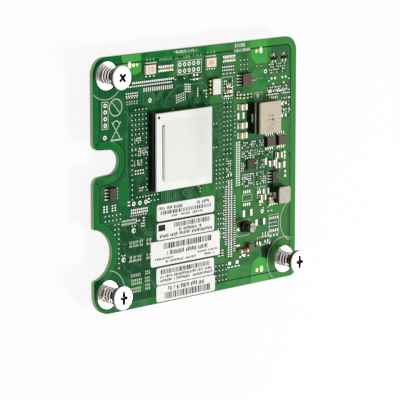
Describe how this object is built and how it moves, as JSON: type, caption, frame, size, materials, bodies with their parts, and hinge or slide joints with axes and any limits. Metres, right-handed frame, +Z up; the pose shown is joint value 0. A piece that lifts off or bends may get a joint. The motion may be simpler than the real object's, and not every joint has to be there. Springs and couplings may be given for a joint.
{
  "type": "server mezzanine adapter card",
  "caption": "Green mezzanine adapter card with a large lidded chip, power parts, white labels, an underside array connector and captive spring screws.",
  "frame": {"origin": "middle of the card's outline, level with the connector's mating face", "axes": "+X along the long edge away from the notched edge, +Y along the short edge towards the status lamps, +Z up out of the component side"},
  "size_m": [0.1142, 0.1016, 0.0178],
  "materials": {
    "board_mask": "semi-gloss green solder mask over glass epoxy",
    "plated_steel": "bright plated steel, slightly worn",
    "spring_steel": "dark drawn wire",
    "black_resin": "black moulded resin, fine grain",
    "dark_resin": "dark brown-grey moulded resin",
    "contact_metal": "thin gold plating",
    "chip_metal": "satin nickel-plated lid",
    "chip_substrate": "dark laminate",
    "solder": "tinned, satin",
    "ferrite": "dark pressed powder core",
    "ferrite_plate": "pale beige-grey coated plate",
    "ferrite_pale": "pale pinkish-grey coating",
    "can_metal": "dark sleeved can with a bare top",
    "ceramic_white": "white ceramic",
    "ceramic_dark": "dark fired ceramic",
    "amber": "amber clear resin",
    "ceramic_brown": "brown ceramic dielectric",
    "resistor_black": "dark glaze",
    "red_glass": "red-brown glass",
    "label_paper": "white coated label"
  },
  "bodies": {
    "card": {"circuit_board": "board_mask", "connector_housing": "black_resin", "connector_contacts": "contact_metal", "chip_solder_layer": "solder", "chip_substrate": "chip_substrate", "chip_frame": "black_resin", "chip_lid": "chip_metal", "large_inductor_base": "ferrite", "large_inductor_winding": "ferrite", "large_inductor_plate": "ferrite_plate", "large_inductor_terminals": "solder", "small_inductor_body": "ferrite_pale", "small_inductor_terminals": "solder", "electrolytic_base": "black_resin", "electrolytic_can": "can_metal", "oscillator_base": "ceramic_dark", "oscillator_lid": "chip_metal", "lamp_bodies": "ceramic_white", "lamp_windows": "amber", "driver_bodies": "dark_resin", "driver_leads": "solder", "memory_bodies": "dark_resin", "memory_leads": "solder", "power_transistor_bodies": "dark_resin", "power_transistor_leads": "solder", "small_transistor_bodies": "black_resin", "small_transistor_leads": "solder", "regulator_body": "black_resin", "regulator_pads": "solder", "diode_body": "red_glass", "diode_caps": "solder", "choke_body": "ferrite", "large_capacitor_bodies": "ceramic_brown", "large_capacitor_ends": "solder", "small_capacitor_bodies": "ceramic_brown", "small_capacitor_ends": "solder", "small_resistor_bodies": "resistor_black", "small_resistor_ends": "solder", "tiny_capacitor_bodies": "ceramic_brown", "tiny_capacitor_ends": "solder", "array_bodies": "resistor_black", "array_fingers": "solder", "underside_capacitor_bodies": "ceramic_brown", "underside_capacitor_ends": "solder", "label_top": "label_paper", "label_second": "label_paper", "label_wide": "label_paper", "label_fourth": "label_paper", "label_bottom": "label_paper", "ferrules": "plated_steel"},
    "plunger_top_left": {"spring_top_left": "spring_steel"},
    "screw_top_left": {"screw_top_left": "plated_steel"},
    "plunger_bottom_left": {"spring_bottom_left": "spring_steel"},
    "screw_bottom_left": {"screw_bottom_left": "plated_steel"},
    "plunger_bottom_right": {"spring_bottom_right": "spring_steel"},
    "screw_bottom_right": {"screw_bottom_right": "plated_steel"}
  },
  "joints": [
    {"name": "press_top_left", "type": "slide", "parent": "card", "child": "plunger_top_left", "axis": [0, 0, -1], "range_m": [0, 0.005], "stiffness_N_per_m": 400, "springref_m": -0.004, "deforming": ["spring_top_left"]},
    {"name": "turn_top_left", "type": "hinge", "parent": "plunger_top_left", "child": "screw_top_left", "pos_m": [-0.05025, 0.0436, 0.0081], "axis": [0, 0, 1], "continuous": true},
    {"name": "press_bottom_left", "type": "slide", "parent": "card", "child": "plunger_bottom_left", "axis": [0, 0, -1], "range_m": [0, 0.005], "stiffness_N_per_m": 400, "springref_m": -0.004, "deforming": ["spring_bottom_left"]},
    {"name": "turn_bottom_left", "type": "hinge", "parent": "plunger_bottom_left", "child": "screw_bottom_left", "pos_m": [-0.05025, -0.0429, 0.0081], "axis": [0, 0, 1], "continuous": true},
    {"name": "press_bottom_right", "type": "slide", "parent": "card", "child": "plunger_bottom_right", "axis": [0, 0, -1], "range_m": [0, 0.005], "stiffness_N_per_m": 400, "springref_m": -0.004, "deforming": ["spring_bottom_right"]},
    {"name": "turn_bottom_right", "type": "hinge", "parent": "plunger_bottom_right", "child": "screw_bottom_right", "pos_m": [0.0498, -0.0429, 0.0081], "axis": [0, 0, 1], "continuous": true}
  ]
}
